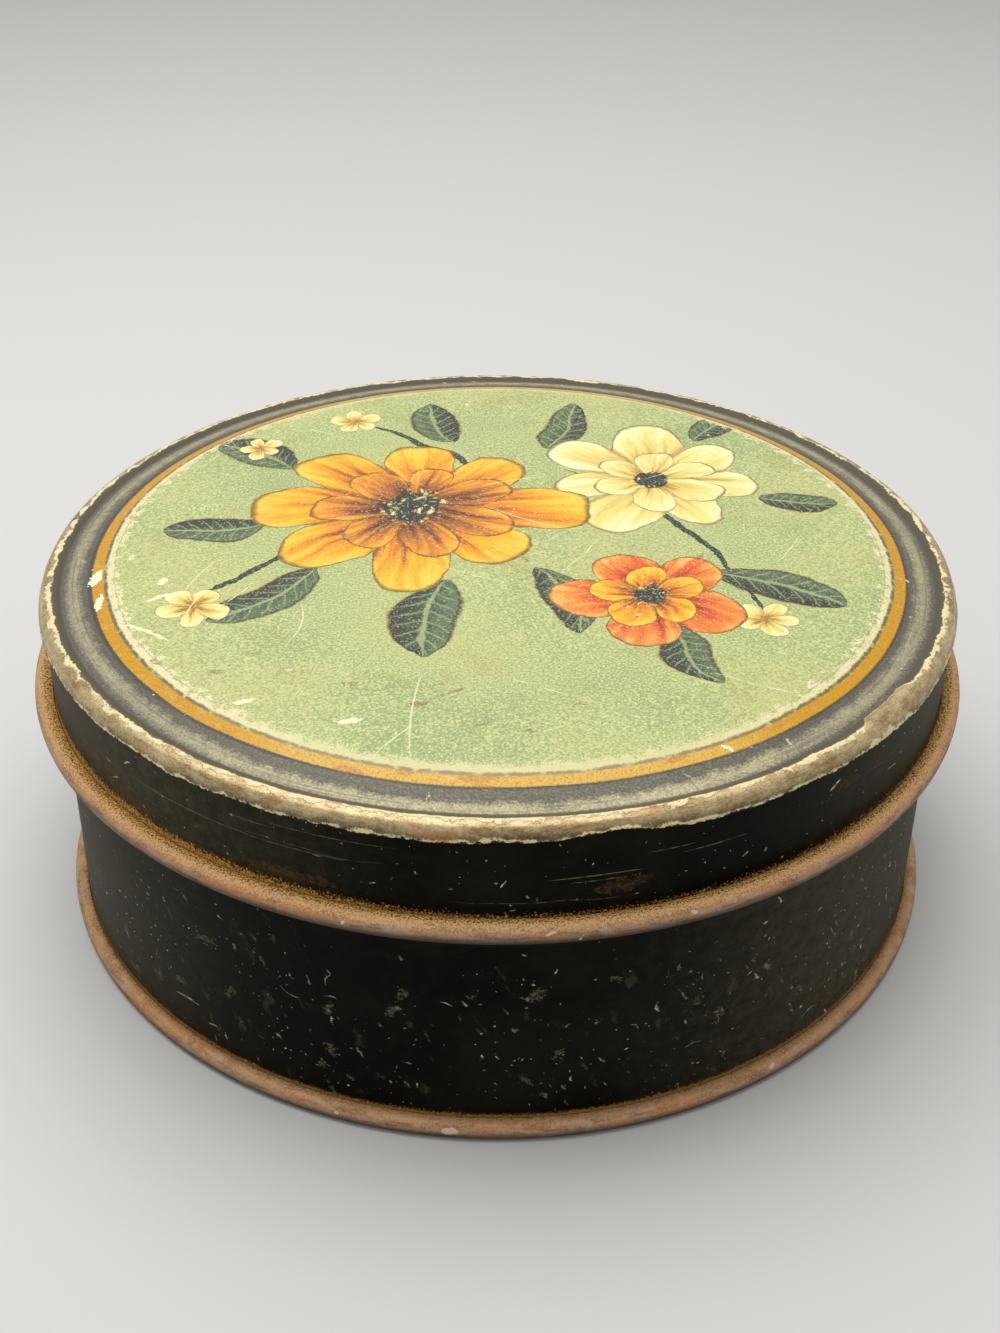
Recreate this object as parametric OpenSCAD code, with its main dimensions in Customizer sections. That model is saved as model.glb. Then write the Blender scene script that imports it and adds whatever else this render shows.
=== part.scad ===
// Round tin with a slip-on lid, made of four pressed and rolled pieces of tinplate.
// Every piece is one sheet, drawn in section as a chain of straight runs and round bends,
// then turned about the tin's axis. The table is at z = 0.

/* [Body] */
// Outside diameter of the body wall
body_d = 91.1; // [60:0.1:140]
// Height of the body's mouth above the table
body_h = 35; // [25:0.5:80]

/* [Sheet] */
// Thickness of the tinplate
gauge = 0.25; // [0.2:0.01:0.3]
// Width of the lap where a rolled strip's ends are joined
lap_w = 5; // [3:0.5:8]

/* [Base] */
// Diameter of the bead that the base is rolled into round the body's foot
base_bead_d = 1.95; // [1.9:0.05:2.6]
// Height of the base's underside above the table
base_recess = 2.3; // [2.2:0.1:5]

/* [Lid band] */
// Height of the lid's wall, from the centre of its curl to the centre of its top bead
band_h = 9.2; // [6:0.1:20]
// Diameter of the hollow curl round the lid's lower edge
curl_d = 2.15; // [1.9:0.05:2.6]

/* [Lid top] */
// Diameter of the bead that the lid's top is rolled into over the band
top_bead_d = 2.56; // [2.4:0.02:3]
// Length of the rim that hangs below the bead's centre, outside the band
rim_drop = 0.4; // [0.3:0.05:2]
// Width of the border's lower slope, next to the bead
border_w = 3; // [2:0.1:5]
// Angle of the border's lower slope
border_tilt = 11; // [8:1:14]
// Width of the steeper slope that carries the border up to the panel
shoulder_w = 1.7; // [1:0.1:3]
// Angle of the steeper slope
shoulder_tilt = 16; // [15:1:22]
// Angle that the crowned panel falls by at its edge
crown_tilt = 0.9; // [0.5:0.1:3]

/* [Fits] */
// Gap between the lid's wall and the body's wall, on each side
slip_gap = 0.3; // [0.2:0.05:0.4]
// Gap between the body's mouth and the lid's roll when the lid is down
mouth_gap = 0.3; // [0.2:0.05:0.5]
// Gap between the layers of a rolled seam
seam_gap = 0.03; // [0.02:0.01:0.05]

/* [Hidden] */
$fn = 180;

// The largest turn, and the longest stretch, between two points of a bend
bend_step = 10;
bend_chord = 5;
// How deep the foot is worn flat where it stands on the table
foot_flat = 0.03;
// Inside radius of a plain fold
fold_r = 0.3;
// Radius of the soft turn between shoulder and panel
panel_r = 4;
// How far past its outer side the body's foot is rolled up inside the base's rim
foot_tuck = 60;
// Gap between the free edge of a curl and the wall that it is rolled in to
edge_gap = 0.08;
// How far past its inner side the band's top edge is rolled under
roll_tuck = 15;
// Where on the bead, from its outer side, the border leaves it
crease_turn = 125;
// Gap between a lap's ends and the rolled edges above and below it
lap_end_gap = 0.3;

// Body wall, inside, outside and at mid-thickness
wall_out = body_d / 2;
wall_in = wall_out - gauge;
wall_mid = wall_out - gauge / 2;

// Base bead: the body's foot is rolled outwards, and the base's rim is rolled round that
base_mid = (base_bead_d - gauge) / 2;
foot_mid = base_mid - gauge - seam_gap;
foot_r = wall_mid + foot_mid;
foot_z = base_bead_d / 2 - foot_flat;
base_tuck = asin((foot_r - wall_out - edge_gap) / (base_bead_d / 2));
fold_mid = fold_r + gauge / 2;
floor_z = base_recess + gauge / 2;

// Lid band, which slides over the body wall
band_in = wall_out + slip_gap;
band_out = band_in + gauge;
band_mid = band_in + gauge / 2;

// Top bead: the band's top edge is rolled inwards, and the lid's rim is rolled over that
bead_mid = (top_bead_d - gauge) / 2;
roll_mid = bead_mid - gauge - seam_gap;
bead_r = band_mid - roll_mid;
roll_in = roll_mid - gauge / 2;
bead_z = body_h + mouth_gap - sqrt(pow(roll_in, 2) - pow(wall_out - bead_r, 2));

// Curl round the lid's lower edge
curl_mid = (curl_d - gauge) / 2;
curl_r = band_mid + curl_mid;
curl_z = bead_z - band_h;
curl_tuck = asin((curl_r - band_out - edge_gap) / (curl_d / 2));

// Rim of the lid's top, where it hangs outside the band
rim_r = bead_r + bead_mid;
rim_z = bead_z - rim_drop;

// A straight run of sheet, and a bend whose turn is positive to the left of the way it runs
function run(length) = [length, 0, 0];
function bend(radius, turn) = [0, turn, radius];

// A bend is taken in small equal turns, a run in one
function in_steps(steps) = [
    for (step = steps)
        let (turn = abs(step[1]), sweep = turn * step[2] * PI / 180)
            let (count = max(1, ceil(turn / bend_step), ceil(sweep / bend_chord)))
                for (i = [1 : count]) [step[0] / count, step[1] / count, step[2]]
];

// The place and heading [r, z, heading] that a step leads to
function after(at, step) =
    let (side = sign(step[1]) * step[2], heading = at[2] + step[1])
    step[1] == 0
        ? [at[0] + step[0] * cos(at[2]), at[1] + step[0] * sin(at[2]), at[2]]
        : [
            at[0] + side * (sin(heading) - sin(at[2])),
            at[1] + side * (cos(at[2]) - cos(heading)),
            heading
        ];

// Every place along a chain of steps
function places(start, steps) =
    let (small = in_steps(steps))
    [
        for (i = 0, at = start; i <= len(small); at = i < len(small) ? after(at, small[i]) : at, i = i + 1)
            at
    ];

// Where a chain of steps ends
function end_of(start, steps) =
    let (all = places(start, steps))
    all[len(all) - 1];

// One face of the sheet, a distance to the left of the chain, never across the axis
function face(chain, left) = [
    for (at = chain) [max(0, at[0] - left * sin(at[2])), at[1] + left * cos(at[2])]
];

function reversed(list) = [for (i = [len(list) - 1 : -1 : 0]) list[i]];

// Section through a sheet that follows a chain of steps
module sheet(start, steps) {
    chain = places(start, steps);
    polygon(concat(face(chain, gauge / 2), reversed(face(chain, -gauge / 2))));
}

// Upright strip of a second layer of sheet at the back, from one radius and height to another
module lap(r_from, r_to, z_from, z_to) {
    spread = lap_w / r_to * 180 / PI;
    rotate([0, 0, 90 - spread / 2])
        rotate_extrude(angle = spread)
            translate([r_from, z_from])
                square([r_to - r_from, z_to - z_from]);
}

// Rolled strip: its ends lap inside at the back, and its foot is rolled outwards
module body_wall() {
    color([0.05, 0.05, 0.045]) {
        rotate_extrude()
            sheet([wall_mid, body_h, -90], [
                run(body_h - foot_z),
                bend(foot_mid, 180 + foot_tuck)
            ]);
        lap(wall_in - gauge, wall_mid, base_recess + gauge + lap_end_gap, body_h - lap_end_gap);
    }
}

// Recessed disc: it turns down inside the wall, and its rim is rolled up round the wall's foot
module base_plate() {
    well_r = foot_r - base_mid;
    color([0.55, 0.45, 0.33])
        rotate_extrude()
            difference() {
                sheet([0, floor_z, 0], [
                    run(well_r - fold_mid),
                    bend(fold_mid, -90),
                    run(floor_z - fold_mid - foot_z),
                    bend(base_mid, 270 + base_tuck)
                ]);
                translate([0, -base_bead_d])
                    square([body_d, base_bead_d]);
            }
}

// Rolled strip: a hollow curl round its lower edge, its top edge rolled inwards, a lap at the back
module lid_band() {
    curl_turn = 270 + curl_tuck;
    curl_start = curl_turn - 180;
    color([0.06, 0.055, 0.05]) {
        rotate_extrude()
            sheet(
                [
                    curl_r + curl_mid * cos(curl_start),
                    curl_z + curl_mid * sin(curl_start),
                    curl_start - 90
                ],
                [
                    bend(curl_mid, -curl_turn),
                    run(band_h),
                    bend(roll_mid, 180 + roll_tuck)
                ]
            );
        lap(band_mid, band_out + gauge, curl_z + curl_d / 2 + lap_end_gap, rim_z - lap_end_gap);
    }
}

// Pressed disc: crowned panel, sloping border, and a rim rolled over the band's top edge
module lid_top() {
    start = [rim_r, rim_z, 90];
    border = [
        run(rim_drop),
        bend(bead_mid, crease_turn),
        bend(fold_mid, 90 - border_tilt - crease_turn),
        run(border_w),
        bend(panel_r, border_tilt - shoulder_tilt),
        run(shoulder_w),
        bend(panel_r, shoulder_tilt - crown_tilt)
    ];
    panel_edge = end_of(start, border);
    color([0.62, 0.66, 0.45])
        rotate_extrude()
            sheet(start, concat(border, [bend(panel_edge[0] / sin(crown_tilt), crown_tilt)]));
}

body_wall();
base_plate();
lid_band();
lid_top();
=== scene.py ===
# Round slip-lid tin: worn black enamel sides, bare rolled edges and a printed lid
import math

import bmesh
import bpy
import numpy as np
from mathutils import Matrix, Vector


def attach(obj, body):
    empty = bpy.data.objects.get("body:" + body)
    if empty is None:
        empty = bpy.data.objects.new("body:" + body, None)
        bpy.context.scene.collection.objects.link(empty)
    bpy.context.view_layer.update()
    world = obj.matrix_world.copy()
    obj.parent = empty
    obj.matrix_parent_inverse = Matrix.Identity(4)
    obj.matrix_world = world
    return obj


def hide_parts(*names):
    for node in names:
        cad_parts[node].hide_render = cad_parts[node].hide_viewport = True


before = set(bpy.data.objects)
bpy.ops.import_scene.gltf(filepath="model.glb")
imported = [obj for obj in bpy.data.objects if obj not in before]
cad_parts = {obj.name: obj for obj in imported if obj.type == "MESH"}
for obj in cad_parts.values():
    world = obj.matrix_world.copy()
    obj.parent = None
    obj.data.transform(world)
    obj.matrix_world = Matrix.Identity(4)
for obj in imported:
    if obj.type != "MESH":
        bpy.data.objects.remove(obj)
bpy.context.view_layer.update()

# Sizes of the tin in millimetres, the same as its solids have
MM = 0.001
BODY_D = 91.1
BODY_H = 35.0
GAUGE = 0.25
LAP_W = 5.0
BASE_BEAD_D = 1.95
BASE_RECESS = 2.3
BAND_H = 9.2
CURL_D = 2.15
TOP_BEAD_D = 2.56
RIM_DROP = 0.4
BORDER_W = 3.0
BORDER_TILT = 11.0
SHOULDER_W = 1.7
SHOULDER_TILT = 16.0
CROWN_TILT = 0.9
SLIP_GAP = 0.3
MOUTH_GAP = 0.3
SEAM_GAP = 0.03
FOOT_FLAT = 0.03
FOLD_R = 0.3
PANEL_R = 4.0
FOOT_TUCK = 60.0
ROLL_TUCK = 15.0
CREASE_TURN = 125.0
EDGE_GAP = 0.08
LAP_END_GAP = 0.3

# Places that follow from those sizes
WALL_OUT = BODY_D / 2
WALL_MID = WALL_OUT - GAUGE / 2
BASE_MID = (BASE_BEAD_D - GAUGE) / 2
FOOT_MID = BASE_MID - GAUGE - SEAM_GAP
FOOT_R = WALL_MID + FOOT_MID
FOOT_Z = BASE_BEAD_D / 2 - FOOT_FLAT
BASE_TUCK = math.degrees(math.asin((FOOT_R - WALL_OUT - EDGE_GAP) / (BASE_BEAD_D / 2)))
FOLD_MID = FOLD_R + GAUGE / 2
FLOOR_Z = BASE_RECESS + GAUGE / 2
BAND_MID = WALL_OUT + SLIP_GAP + GAUGE / 2
BEAD_MID = (TOP_BEAD_D - GAUGE) / 2
ROLL_MID = BEAD_MID - GAUGE - SEAM_GAP
BEAD_R = BAND_MID - ROLL_MID
ROLL_IN = ROLL_MID - GAUGE / 2
BEAD_Z = BODY_H + MOUTH_GAP - math.sqrt(ROLL_IN ** 2 - (WALL_OUT - BEAD_R) ** 2)
CURL_MID = (CURL_D - GAUGE) / 2
CURL_R = BAND_MID + CURL_MID
CURL_Z = BEAD_Z - BAND_H
CURL_TUCK = math.degrees(math.asin((CURL_R - BAND_MID - GAUGE / 2 - EDGE_GAP) / (CURL_D / 2)))
RIM_R = BEAD_R + BEAD_MID
RIM_Z = BEAD_Z - RIM_DROP
LAP_SPREAD = math.degrees(LAP_W / 2 / BAND_MID)
LAP_LOW_Z = BASE_RECESS + 2 * GAUGE
BAND_LAP_LOW_Z = CURL_Z + CURL_D / 2 + LAP_END_GAP

# Fineness of the turned sheets: millimetres along a run, degrees along a bend, and steps round the tin
RUN_STEP = 1.2
BEND_STEP = 9.0
TURN_COUNT = 384
# Degrees between the two steps at a lap's edge, and to the next steps beside them
LAP_EDGE_STEP = 0.03
LAP_CLEAR_STEP = 0.3
# A corner of more degrees than this is sharp, and a point nearer the axis than this is on it
SHARP_ANGLE = 38.0
AXIS_R = 1e-6
# A strip of the mesh is finished when both of its edges are, so that their mean is over this
BOTH_FINISHED = 0.75


# Sheet sections

def run(length):
    return (length, 0.0, 0.0)


def bend(radius, turn):
    return (0.0, turn, radius)


def follow(start, steps):
    """Rows of r, z, heading and distance along a chain of runs and bends, positive turns to the left."""
    r, z, heading = start
    along = 0.0
    rows = [(r, z, heading, along)]
    for length, turn, radius in steps:
        sweep = abs(math.radians(turn)) * radius
        count = max(1, math.ceil((length + sweep) / RUN_STEP), math.ceil(abs(turn) / BEND_STEP))
        side = math.copysign(radius, turn)
        for _ in range(count):
            ahead = heading + turn / count
            now = math.radians(heading)
            then = math.radians(ahead)
            r += length / count * math.cos(now) + side * (math.sin(then) - math.sin(now))
            z += length / count * math.sin(now) + side * (math.cos(now) - math.cos(then))
            heading = ahead
            along += (length + sweep) / count
            rows.append((r, z, heading, along))
    return np.array(rows)


def sheet_loop(rows, finished_left):
    """Outline of a sheet that follows the rows: r, z, distance along, and 1 on its finished face."""
    def face(left):
        turn = np.radians(rows[:, 2])
        r = np.maximum(rows[:, 0] - left * np.sin(turn), 0.0)
        z = rows[:, 1] + left * np.cos(turn)
        finished = np.full(len(rows), 1.0 if (left > 0) == finished_left else 0.0)
        return np.stack([r, z, rows[:, 3], finished], axis=1)

    left = face(GAUGE / 2)
    right = face(-GAUGE / 2)
    if rows[0, 0] < rows[-1, 0]:
        return np.concatenate([left, right[::-1]])
    return np.concatenate([left[::-1], right])


def body_wall_rows():
    return follow((WALL_MID, BODY_H, -90.0), [
        run(BODY_H - FOOT_Z),
        bend(FOOT_MID, 180.0 + FOOT_TUCK),
    ])


def base_plate_rows():
    well_r = FOOT_R - BASE_MID
    return follow((0.0, FLOOR_Z, 0.0), [
        run(well_r - FOLD_MID),
        bend(FOLD_MID, -90.0),
        run(FLOOR_Z - FOLD_MID - FOOT_Z),
        bend(BASE_MID, 270.0 + BASE_TUCK),
    ])


def lid_band_rows():
    curl_turn = 270.0 + CURL_TUCK
    first = math.radians(curl_turn - 180.0)
    start = (CURL_R + CURL_MID * math.cos(first), CURL_Z + CURL_MID * math.sin(first), curl_turn - 270.0)
    return follow(start, [
        bend(CURL_MID, -curl_turn),
        run(BAND_H),
        bend(ROLL_MID, 180.0 + ROLL_TUCK),
    ])


def lid_top_rows():
    start = (RIM_R, RIM_Z, 90.0)
    border = [
        *[run(RIM_DROP / 4)] * 4,
        bend(BEAD_MID, CREASE_TURN),
        bend(FOLD_MID, 90.0 - BORDER_TILT - CREASE_TURN),
        run(BORDER_W),
        bend(PANEL_R, BORDER_TILT - SHOULDER_TILT),
        run(SHOULDER_W),
        bend(PANEL_R, SHOULDER_TILT - CROWN_TILT),
    ]
    edge = follow(start, border)[-1, 0]
    return follow(start, border + [bend(edge / math.sin(math.radians(CROWN_TILT)), CROWN_TILT)])


# Turned meshes

def around_steps():
    """Angles round the tin from the front, in degrees, with a close pair at each edge of the back's lap."""
    edges = [180.0 - LAP_SPREAD, 180.0 + LAP_SPREAD]
    pairs = [edge + shift for edge in edges for shift in (-LAP_EDGE_STEP, LAP_EDGE_STEP)]
    even = [360.0 * i / TURN_COUNT for i in range(TURN_COUNT)]
    clear = [angle for angle in even if min(abs(angle - edge) for edge in edges) > LAP_CLEAR_STEP]
    return np.array(sorted(clear + pairs))


def in_lap(around):
    return (np.abs(around - 180.0) < LAP_SPREAD).astype(float)


def swell(value, middle, reach):
    """A soft bump of height 1 that fades out at the given reach."""
    gap = np.clip(np.abs(value - middle) / reach, 0.0, 1.0)
    return (1.0 - gap * gap) ** 2


def ripple(around, waves, shift):
    return np.sin(np.radians(around * waves + shift))


def turned(name, loop, moved, zone):
    """Mesh of a sheet's outline turned about Z.

    moved(around, r, z, along, finished) gives each point's r and z, and zone(r, z, along, finished)
    the number of the finish between one point of the outline and the next.
    """
    around = around_steps()
    has_poles = loop[0, 0] < AXIS_R
    rim = loop[1:-1] if has_poles else loop
    rings, count = len(around), len(rim)
    r, z = moved(around[:, None], *rim.T[:, None, :])
    turn = np.radians(around)[:, None]
    points = np.stack([r * np.sin(turn), -r * np.cos(turn), z], axis=2) * MM
    vertices = points.reshape(-1, 3).tolist()
    along = np.tile(rim[:, 2], rings).tolist()

    strips = count - 1 if has_poles else count
    strip_zones = [zone(*row) for row in (rim + np.roll(rim, -1, axis=0)) / 2]
    faces = []
    zones = []
    for i in range(rings):
        j = (i + 1) % rings
        for k in range(strips):
            m = (k + 1) % count
            faces.append((i * count + k, i * count + m, j * count + m, j * count + k))
            zones.append(strip_zones[k])
    if has_poles:
        for k, row in ((0, loop[0]), (count - 1, loop[-1])):
            pole = len(vertices)
            vertices.append((0.0, 0.0, moved(np.array(0.0), *row)[1] * MM))
            along.append(row[2])
            for i in range(rings):
                faces.append((pole, i * count + k, (i + 1) % rings * count + k))
                zones.append(zone(*row))

    mesh = bpy.data.meshes.new(name)
    mesh.from_pydata(vertices, [], faces)
    mesh.attributes.new("along", "FLOAT", "POINT").data.foreach_set("value", along)
    mesh.polygons.foreach_set("material_index", zones)
    form = bmesh.new()
    form.from_mesh(mesh)
    bmesh.ops.recalc_face_normals(form, faces=form.faces)
    form.to_mesh(mesh)
    form.free()
    mesh.polygons.foreach_set("use_smooth", [True] * len(mesh.polygons))
    mesh.set_sharp_from_angle(angle=math.radians(SHARP_ANGLE))
    piece = bpy.data.objects.new(name, mesh)
    bpy.context.scene.collection.objects.link(piece)
    return piece


# How far the curl and the crown stay inside the solids' box
CURL_CLEAR = 0.003
CROWN_CLEAR = 0.007
# Ripples of the lid's raw edge: depth, waves round the tin, shift in degrees
RIM_WANDER = [(0.09, 11, 0.0), (0.06, 23, 50.0), (0.05, 41, 120.0), (0.03, 61, 30.0), (0.03, 83, 75.0)]


def body_wall_moved(around, r, z, along, finished):
    """The wall is a little out of round, with the lap's second layer inside at the back."""
    held_z = 4.0
    free_z = 10.0
    upright = np.clip((z - held_z) / (free_z - held_z), 0.0, 1.0)
    wave = 0.05 * ripple(around, 2, 40.0) * upright + 0.03 * ripple(around, 5, 10.0) * upright
    lap = (1.0 - finished) * in_lap(around) * ((z > LAP_LOW_Z) & (z < BODY_H - LAP_END_GAP))
    return r + wave - GAUGE * lap, z + 0.0 * around


def base_plate_moved(around, r, z, along, finished):
    """The foot is flat where it stands, and the floor is slightly dished."""
    dish = 0.18 * swell(r, 0.0, 42.0) + 0.04 * ripple(around, 3, 70.0) * swell(r, 26.0, 18.0)
    above_bead_z = 2.0
    return r + 0.0 * around, np.maximum(z + dish * (z > above_bead_z), 0.0)


def lid_band_moved(around, r, z, along, finished):
    """The band is a little uneven, with the lap's second layer outside at the back."""
    upright = swell(z, 30.0, 4.6)
    wave = 0.04 * upright * (ripple(around, 3, 95.0) + ripple(around, 7, 20.0))
    lap = finished * in_lap(around) * ((z > BAND_LAP_LOW_Z) & (z < RIM_Z - LAP_END_GAP))
    return r + wave + GAUGE * lap - CURL_CLEAR, z + 0.0 * around


def lid_top_moved(around, r, z, along, finished):
    """The rim's raw edge wanders along the bead, with a lip, a groove above it, and knocks at the front right
    and the front left."""
    wander = sum(depth * ripple(around, waves, shift) for depth, waves, shift in RIM_WANDER)
    knock = swell(around, 12.0, 6.0) + 0.5 * swell(around, 318.0, 5.0)
    pushed = along + (0.17 + wander + 0.6 * knock) * np.clip(1.0 - along / 1.8, 0.0, 1.0)
    rows = lid_top_rows()
    r, z, heading = (np.interp(pushed, rows[:, 3], rows[:, i]) for i in range(3))
    turn = np.radians(heading)
    left = (0.5 - finished) * GAUGE
    lip = 0.08 * np.clip(1.0 - along / 0.35, 0.0, 1.0)
    groove = 0.11 * finished * swell(along, 0.8, 0.5)
    sag = 0.05 * ripple(around, 2, 15.0) * swell(r, 20.0, 19.0)
    out = np.maximum(r - left * np.sin(turn) + lip - groove, 0.0)
    return out, z + left * np.cos(turn) + sag - CROWN_CLEAR


# Shader wiring

def plain(red, green, blue):
    """A colour as it is seen on a screen, in 0 to 255, as a shader takes it."""
    def straight(part):
        part /= 255.0
        return part / 12.92 if part <= 0.04045 else ((part + 0.055) / 1.055) ** 2.4
    return (straight(red), straight(green), straight(blue), 1.0)


def shades(*colours):
    """Several such colours."""
    return [plain(*colour) for colour in colours]


class Wiring:
    """Adds nodes to one shader tree. Any input can be a number, a colour or another node's output."""

    def __init__(self, tree):
        self.tree = tree

    def add(self, kind, inputs, **settings):
        node = self.tree.nodes.new(kind)
        for name, value in settings.items():
            setattr(node, name, value)
        for key, value in inputs.items():
            self.feed(node.inputs[key], value)
        return node

    def feed(self, socket, value):
        if isinstance(value, bpy.types.NodeSocket):
            self.tree.links.new(value, socket)
        else:
            socket.default_value = value

    def math(self, operation, *values):
        return self.add("ShaderNodeMath", dict(enumerate(values)), operation=operation).outputs[0]

    def vector(self, operation, *values):
        return self.add("ShaderNodeVectorMath", dict(enumerate(values)), operation=operation).outputs[0]

    def scaled(self, vector, factor):
        return self.add("ShaderNodeVectorMath", {0: vector, "Scale": factor}, operation="SCALE").outputs[0]

    def part(self, vector, axis):
        """One part of a vector: 0 for X, 1 for Y, 2 for Z."""
        inputs = {0: vector, 1: tuple(float(i == axis) for i in range(3))}
        return self.add("ShaderNodeVectorMath", inputs, operation="DOT_PRODUCT").outputs["Value"]

    def length(self, vector):
        return self.add("ShaderNodeVectorMath", {0: vector}, operation="LENGTH").outputs["Value"]

    def join(self, x, y, z=0.0):
        return self.add("ShaderNodeCombineXYZ", {0: x, 1: y, 2: z}).outputs[0]

    def ease(self, value, low, high):
        """0 at low, 1 at high, smooth between; low may be the larger."""
        return self.span(value, low, high, 0.0, 1.0)

    def span(self, value, low, high, new_low, new_high):
        """From new_low at low to new_high at high, smooth between."""
        inputs = {"Value": value, "From Min": low, "From Max": high, "To Min": new_low, "To Max": new_high}
        node = self.add("ShaderNodeMapRange", inputs, interpolation_type="SMOOTHSTEP", clamp=False)
        return node.outputs[0]

    def within(self, value, low, high, soft):
        """1 between low and high, with soft edges."""
        return self.math("MULTIPLY", self.ease(value, low - soft, low + soft),
                         self.ease(value, high + soft, high - soft))

    def mix(self, factor, first, second, blend="MIX"):
        inputs = {0: factor, 6: first, 7: second}
        return self.add("ShaderNodeMix", inputs, data_type="RGBA", blend_type=blend).outputs[2]

    def times(self, *values):
        product = values[0]
        for value in values[1:]:
            product = self.math("MULTIPLY", product, value)
        return product

    def plus(self, *values):
        total = values[0]
        for value in values[1:]:
            total = self.math("ADD", total, value)
        return total

    def minus(self, first, second):
        return self.math("SUBTRACT", first, second)

    def most(self, *values):
        top = values[0]
        for value in values[1:]:
            top = self.math("MAXIMUM", top, value)
        return top

    def inverse(self, value):
        return self.math("SUBTRACT", 1.0, value)

    def turned(self, vector, angle):
        """A vector turned about Z by an angle in radians."""
        inputs = {"Vector": vector, "Angle": angle}
        return self.add("ShaderNodeVectorRotate", inputs, rotation_type="Z_AXIS").outputs[0]

    def ramp(self, value, stops):
        """A colour ramp through stops of place and colour."""
        node = self.add("ShaderNodeValToRGB", {0: value})
        elements = node.color_ramp.elements
        elements[0].position, elements[0].color = stops[0]
        elements[1].position, elements[1].color = stops[-1]
        for place, colour in stops[1:-1]:
            elements.new(place).color = colour
        return node.outputs[0]

    def noise(self, vector, scale, detail=2.0, rough=0.5):
        inputs = {"Vector": vector, "Scale": scale, "Detail": detail, "Roughness": rough}
        return self.add("ShaderNodeTexNoise", inputs).outputs[0]

    def drift(self, *settings):
        """A noise that wanders about nought."""
        return self.minus(self.noise(*settings), 0.5)

    def stray(self, vector, scale, detail):
        """A small vector that wanders about nought."""
        noise = self.add("ShaderNodeTexNoise", {"Vector": vector, "Scale": scale, "Detail": detail})
        return self.vector("SUBTRACT", noise.outputs[1], (0.5, 0.5, 0.5))

    def cells(self, vector, scale):
        """Flat cells across the X and Y of a vector."""
        inputs = {"Vector": vector, "Scale": scale}
        return self.add("ShaderNodeTexVoronoi", inputs, voronoi_dimensions="2D").outputs

    def attribute(self, name):
        return self.add("ShaderNodeAttribute", {}, attribute_name=name).outputs["Fac"]

    def group(self, tree, inputs):
        node = self.add("ShaderNodeGroup", {}, node_tree=tree)
        for key, value in inputs.items():
            self.feed(node.inputs[key], value)
        return node.outputs


def new_group(name, inputs, outputs):
    """An empty node group, its wiring, its inputs and its output node."""
    tree = bpy.data.node_groups.new(name, "ShaderNodeTree")
    kinds = {"value": "NodeSocketFloat", "vector": "NodeSocketVector", "colour": "NodeSocketColor"}
    for label, kind in inputs:
        tree.interface.new_socket(name=label, in_out="INPUT", socket_type=kinds[kind])
    for label, kind in outputs:
        tree.interface.new_socket(name=label, in_out="OUTPUT", socket_type=kinds[kind])
    wires = Wiring(tree)
    return tree, wires, wires.add("NodeGroupInput", {}).outputs, wires.add("NodeGroupOutput", {}).inputs


# Effects that the finishes are made of

def tin_places_group():
    """Where a point is on the tin, in millimetres: its place, that place seen from above, its radius and
    height, and the wall rolled out flat."""
    tree, w, _, out = new_group("tin_places", [], [
        ("Place", "vector"), ("Level", "vector"), ("Radius", "value"), ("Height", "value"),
        ("Unrolled", "vector"),
    ])
    place = w.scaled(w.add("ShaderNodeTexCoord", {}).outputs["Object"], 1.0 / MM)
    level = w.vector("MULTIPLY", place, (1.0, 1.0, 0.0))
    height = w.part(place, 2)
    turn = w.math("ARCTAN2", w.part(place, 0), w.times(w.part(place, 1), -1.0))
    w.feed(out["Place"], place)
    w.feed(out["Level"], level)
    w.feed(out["Radius"], w.length(level))
    w.feed(out["Height"], height)
    w.feed(out["Unrolled"], w.join(w.times(turn, WALL_OUT), height))
    return tree


def speck_group():
    """Scattered specks of uneven outline: a share of the flat cells holds one, Size is its reach in cells."""
    tree, w, given, out = new_group("specks", [
        ("Vector", "vector"), ("Cell", "value"), ("Share", "value"), ("Size", "value"),
    ], [("Mask", "value")])
    per_mm = w.math("DIVIDE", 1.0, given["Cell"])
    stray = w.scaled(w.stray(given["Vector"], w.times(per_mm, 0.4), 1.0), w.times(given["Cell"], 2.6))
    cells = w.cells(w.vector("ADD", given["Vector"], stray), per_mm)
    kept = w.math("LESS_THAN", w.part(cells["Color"], 0), given["Share"])
    jag = w.noise(given["Vector"], w.times(per_mm, 8.0))
    vary = w.span(w.part(cells["Color"], 1), 0.0, 1.0, 0.4, 1.5)
    reach = w.times(given["Size"], vary, w.span(jag, 0.25, 0.75, 0.2, 1.8))
    shown = w.span(w.part(cells["Color"], 2), 0.0, 1.0, 0.25, 1.0)
    w.feed(out["Mask"], w.times(kept, shown, w.ease(cells["Distance"], reach, w.times(reach, 0.5))))
    return tree


def scratch_group():
    """Fine broken scratches along X of the given vector, in millimetres."""
    tree, w, given, out = new_group("scratches", [
        ("Vector", "vector"), ("Length", "value"), ("Gap", "value"), ("Share", "value"), ("Width", "value"),
    ], [("Mask", "value")])
    drift = w.times(w.drift(given["Vector"], 0.12), 1.6)
    row = w.math("DIVIDE", w.plus(w.part(given["Vector"], 1), drift), given["Gap"])
    cells = w.cells(w.join(w.math("DIVIDE", w.part(given["Vector"], 0), given["Length"]), row), 1.0)
    off = w.math("ABSOLUTE", w.minus(row, w.part(cells["Position"], 1)))
    kept = w.math("LESS_THAN", w.part(cells["Color"], 0), given["Share"])
    thin = w.math("DIVIDE", given["Width"], given["Gap"])
    line = w.ease(off, thin, w.times(thin, 0.4))
    ends = w.ease(cells["Distance"], 0.45, 0.2)
    broken = w.ease(w.noise(given["Vector"], 0.9, 4.0, 0.65), 0.36, 0.6)
    w.feed(out["Mask"], w.times(kept, line, ends, broken))
    return tree


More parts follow.
